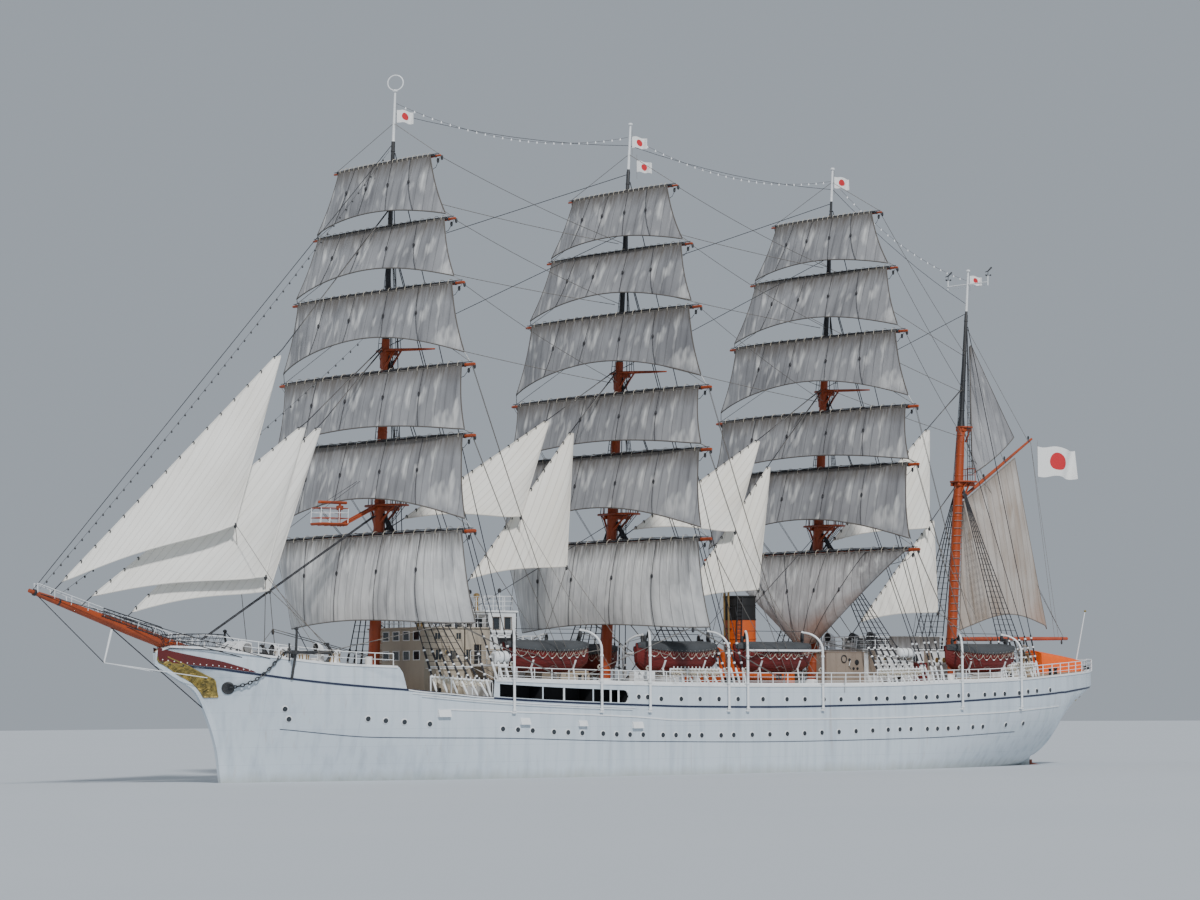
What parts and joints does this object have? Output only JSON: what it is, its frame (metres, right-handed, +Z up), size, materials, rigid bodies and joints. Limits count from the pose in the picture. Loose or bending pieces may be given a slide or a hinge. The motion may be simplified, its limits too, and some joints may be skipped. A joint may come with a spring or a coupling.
{
  "type": "scale model of a four-masted barque, 1:10",
  "caption": "Four-masted barque afloat with square sails, jibs, staysails and spanker set, yards that brace, a swinging spanker boom, a hinged rudder and twin propellers.",
  "frame": {"origin": "amidships on the centre plane, at the waterline", "axes": "+X forward, +Y to port, +Z up"},
  "size_m": [9.7171, 2.266, 5.217],
  "materials": {
    "hull_paint": "satin white with salt and rust streaks",
    "antifouling": "matt underwater paint",
    "bronze": "dull bronze",
    "spar_paint": "weathered orange-brown paint, black above",
    "sail_canvas": "stained grey sailcloth",
    "staysail_cloth": "cream sailcloth",
    "wire": "tarred wire",
    "boat_paint": "dark red gloss",
    "white_paint": "white gloss",
    "house_paint": "beige paint",
    "funnel_paint": "orange with a black top",
    "orange_canvas": "orange canvas cover"
  },
  "bodies": {
    "ship": {"hull": "hull_paint", "bowsprit": "spar_paint", "lookout": "spar_paint", "foremast": "spar_paint", "mainmast": "spar_paint", "mizzenmast": "spar_paint", "jiggermast": "spar_paint", "flying_jib": "staysail_cloth", "outer_jib": "staysail_cloth", "fore_topmast_staysail": "staysail_cloth", "main_topmast_staysail": "staysail_cloth", "main_staysail": "staysail_cloth", "mizzen_topmast_staysail": "staysail_cloth", "mizzen_staysail": "staysail_cloth", "jigger_topmast_staysail": "staysail_cloth", "jigger_staysail": "staysail_cloth", "forestay": "wire", "lifeboat_port_1": "boat_paint", "lifeboat_port_2": "boat_paint", "lifeboat_port_3": "boat_paint", "lifeboat_port_4": "boat_paint", "davits_port": "white_paint", "lifeboat_starboard_1": "boat_paint", "lifeboat_starboard_2": "boat_paint", "lifeboat_starboard_3": "boat_paint", "lifeboat_starboard_4": "boat_paint", "davits_starboard": "white_paint", "bridge_house": "house_paint", "aft_house": "white_paint", "wheelhouse": "white_paint", "funnel": "funnel_paint", "stern_cover": "orange_canvas"},
    "rudder": {"rudder": "antifouling"},
    "propeller_port": {"propeller_port": "bronze"},
    "propeller_starboard": {"propeller_starboard": "bronze"},
    "spanker_gear": {"spanker": "sail_canvas", "gaff_topsail": "sail_canvas", "gaff": "spar_paint", "boom": "spar_paint"},
    "fore_yards": {"fore_course_yard": "spar_paint", "fore_lower_topsail_yard": "spar_paint", "fore_upper_topsail_yard": "spar_paint", "fore_lower_topgallant_yard": "spar_paint", "fore_upper_topgallant_yard": "spar_paint", "fore_royal_yard": "spar_paint", "fore_square_sails": "sail_canvas"},
    "main_yards": {"main_course_yard": "spar_paint", "main_lower_topsail_yard": "spar_paint", "main_upper_topsail_yard": "spar_paint", "main_lower_topgallant_yard": "spar_paint", "main_upper_topgallant_yard": "spar_paint", "main_royal_yard": "spar_paint", "main_square_sails": "sail_canvas"},
    "mizzen_yards": {"mizzen_course_yard": "spar_paint", "mizzen_lower_topsail_yard": "spar_paint", "mizzen_upper_topsail_yard": "spar_paint", "mizzen_lower_topgallant_yard": "spar_paint", "mizzen_upper_topgallant_yard": "spar_paint", "mizzen_royal_yard": "spar_paint", "mizzen_square_sails": "sail_canvas"}
  },
  "joints": [
    {"name": "rudder_turn", "type": "hinge", "parent": "ship", "child": "rudder", "pos_m": [-3.683, 0, -0.2], "axis": [0, 0, 1], "range_deg": [-35, 35]},
    {"name": "propeller_port_spin", "type": "hinge", "parent": "ship", "child": "propeller_port", "pos_m": [-3.36, 0.175, -0.25], "axis": [1, 0, 0], "continuous": true},
    {"name": "propeller_starboard_spin", "type": "hinge", "parent": "ship", "child": "propeller_starboard", "pos_m": [-3.36, -0.175, -0.25], "axis": [1, 0, 0], "continuous": true},
    {"name": "fore_brace", "type": "hinge", "parent": "ship", "child": "fore_yards", "pos_m": [2.7275, 0, 0], "axis": [-0.0509, 0, 0.9987], "range_deg": [-40, 40]},
    {"name": "main_brace", "type": "hinge", "parent": "ship", "child": "main_yards", "pos_m": [0.7088, 0, 0], "axis": [-0.0708, 0, 0.9975], "range_deg": [-40, 40]},
    {"name": "mizzen_brace", "type": "hinge", "parent": "ship", "child": "mizzen_yards", "pos_m": [-1.3058, 0, 0], "axis": [-0.0708, 0, 0.9975], "range_deg": [-40, 40]},
    {"name": "spanker_swing", "type": "hinge", "parent": "ship", "child": "spanker_gear", "pos_m": [-2.7475, 0, 0], "axis": [-0.0847, 0, 0.9964], "range_deg": [-35, 35]}
  ]
}
